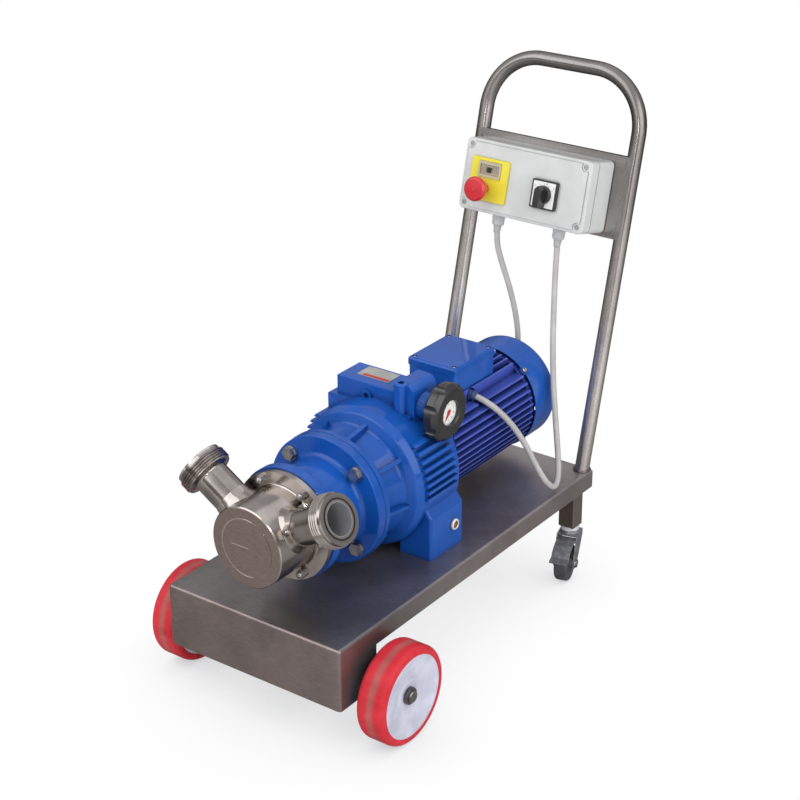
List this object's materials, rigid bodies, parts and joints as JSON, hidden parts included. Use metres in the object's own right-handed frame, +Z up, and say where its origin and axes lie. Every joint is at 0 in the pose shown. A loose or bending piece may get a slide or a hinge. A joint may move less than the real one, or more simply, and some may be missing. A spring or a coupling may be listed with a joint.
{
  "type": "flexible impeller pump on a trolley",
  "caption": "Self-priming flexible impeller pump with a blue stepless drive and motor on a stainless trolley with a push handle and switch box",
  "frame": {"origin": "on the floor, below the middle of the trolley's plan, with the cords left out", "axes": "+Z is up, +Y points from the pump to the push handle, and X is across the trolley"},
  "size_m": [0.46, 0.8864, 0.8503],
  "materials": {
    "stainless_satin": "satin brushed stainless sheet and tube",
    "stainless_polished": "polished stainless",
    "zinc": "galvanised steel",
    "steel_dark": "dark grey painted steel",
    "cast_blue": "glossy blue paint on cast aluminium",
    "motor_blue": "violet-blue paint on cast aluminium",
    "tyre_red": "red elastic tread",
    "hub_white": "white moulded nylon",
    "wheel_grey": "grey caster tread",
    "box_grey": "light grey moulded plastic",
    "plate_yellow": "yellow plate",
    "button_red": "red push button",
    "switch_beige": "beige-grey switch block",
    "black_plastic": "black moulded plastic",
    "dial_white": "white dial",
    "pointer_red": "red pointer",
    "cable_grey": "light grey cable sheath",
    "plug_red": "red and grey moulded plug",
    "brass": "brass plug",
    "seal_rubber": "black rubber",
    "impeller_rubber": "black food-grade rubber",
    "rotor_steel": "machined steel",
    "steel_bright": "turned steel"
  },
  "bodies": {
    "root": {"deck": "stainless_satin", "deck_brackets": "stainless_satin", "rear_legs": "stainless_satin", "front_axle": "steel_bright", "axle_caps": "black_plastic", "caster_heads": "zinc", "handle_frame": "stainless_satin", "handle_crossplate": "stainless_satin", "enclosure_base": "box_grey", "enclosure_lid": "box_grey", "enclosure_screws": "box_grey", "estop_plate": "plate_yellow", "starter_switch": "switch_beige", "selector_plate": "black_plastic", "cable_glands": "box_grey", "motor_cable": "cable_grey", "supply_cable": "cable_grey", "supply_coil": "cable_grey", "supply_plug": "plug_red", "pump_body": "stainless_polished", "inlet_port": "stainless_polished", "outlet_port": "stainless_polished", "body_seal": "seal_rubber", "body_nuts": "zinc", "back_plate": "stainless_polished", "shaft_seal": "seal_rubber", "lantern": "cast_blue", "lantern_bolts": "zinc", "variator_housing": "cast_blue", "oil_plugs": "brass", "foot_bolts": "zinc", "speed_control_housing": "cast_blue", "indicator_dial": "dial_white", "motor_front_shield": "motor_blue", "motor_frame": "motor_blue", "motor_rear_shield": "motor_blue", "fan_cover": "cast_blue", "terminal_box": "cast_blue", "terminal_lid": "cast_blue"},
    "wheel_right": {"tyre_right": "tyre_red", "wheel_hub_right": "hub_white"},
    "wheel_left": {"tyre_left": "tyre_red", "wheel_hub_left": "hub_white"},
    "caster_right": {"caster_fork_right": "steel_dark", "caster_axle_right": "zinc"},
    "caster_left": {"caster_fork_left": "steel_dark", "caster_axle_left": "zinc"},
    "caster_roller_right": {"caster_wheel_right": "wheel_grey"},
    "caster_roller_left": {"caster_wheel_left": "wheel_grey"},
    "brake_right": {"brake_pedal_right": "steel_dark"},
    "brake_left": {"brake_pedal_left": "steel_dark"},
    "handwheel": {"handwheel": "black_plastic", "control_shaft": "steel_bright"},
    "pointer": {"indicator_pointer": "pointer_red"},
    "motor_rotor": {"motor_rotor": "rotor_steel", "motor_fan": "black_plastic"},
    "pump_rotor": {"pump_shaft": "stainless_polished", "impeller": "impeller_rubber"},
    "estop_button": {"estop_button": "button_red"},
    "selector_knob": {"selector_knob": "black_plastic"}
  },
  "joints": [
    {"name": "front_wheel_right", "type": "hinge", "parent": "root", "child": "wheel_right", "pos_m": [0.204, -0.34218, 0.08], "axis": [1, 0, 0], "continuous": true},
    {"name": "caster_swivel_right", "type": "hinge", "parent": "root", "child": "caster_right", "pos_m": [0.1495, 0.23182, 0.08], "axis": [0, 0, 1], "continuous": true},
    {"name": "caster_roll_right", "type": "hinge", "parent": "caster_right", "child": "caster_roller_right", "pos_m": [0.15694, 0.20586, 0.0325], "axis": [0.9613, 0.2756, 0], "continuous": true},
    {"name": "caster_brake_right", "type": "hinge", "parent": "caster_right", "child": "brake_right", "pos_m": [0.15336, 0.21836, 0.07], "axis": [0.9613, 0.2756, 0], "range_deg": [0, 5]},
    {"name": "front_wheel_left", "type": "hinge", "parent": "root", "child": "wheel_left", "pos_m": [-0.204, -0.34218, 0.08], "axis": [1, 0, 0], "continuous": true},
    {"name": "caster_swivel_left", "type": "hinge", "parent": "root", "child": "caster_left", "pos_m": [-0.1495, 0.23182, 0.08], "axis": [0, 0, 1], "continuous": true},
    {"name": "caster_roll_left", "type": "hinge", "parent": "caster_left", "child": "caster_roller_left", "pos_m": [-0.14206, 0.20586, 0.0325], "axis": [0.9613, 0.2756, 0], "continuous": true},
    {"name": "caster_brake_left", "type": "hinge", "parent": "caster_left", "child": "brake_left", "pos_m": [-0.14564, 0.21836, 0.07], "axis": [0.9613, 0.2756, 0], "range_deg": [0, 5]},
    {"name": "handwheel_turn", "type": "hinge", "parent": "root", "child": "handwheel", "pos_m": [0.089, -0.08668, 0.4199], "axis": [1, 0, 0], "range_deg": [-360, 360]},
    {"name": "pointer_turn", "type": "hinge", "parent": "root", "child": "pointer", "pos_m": [0.116, -0.08668, 0.4199], "axis": [1, 0, 0], "range_deg": [-120, 120]},
    {"name": "motor_spin", "type": "hinge", "parent": "root", "child": "motor_rotor", "pos_m": [0, 0.05382, 0.306], "axis": [0, 1, 0], "continuous": true},
    {"name": "pump_spin", "type": "hinge", "parent": "root", "child": "pump_rotor", "pos_m": [0, -0.39018, 0.306], "axis": [0, 1, 0], "continuous": true, "deforming": ["impeller"]},
    {"name": "estop_press", "type": "slide", "parent": "root", "child": "estop_button", "axis": [0, 0.9686, -0.2487], "range_m": [0, 0.006]},
    {"name": "selector_turn", "type": "hinge", "parent": "root", "child": "selector_knob", "pos_m": [0.0446, 0.28425, 0.65555], "axis": [0, 0.9686, -0.2487], "range_deg": [-60, 60]}
  ],
  "couplings": [
    {"joint": "pointer_turn", "follows": "handwheel_turn", "ratio": 0.33333},
    {"joint": "pump_spin", "follows": "motor_spin", "ratio": 0.4}
  ]
}
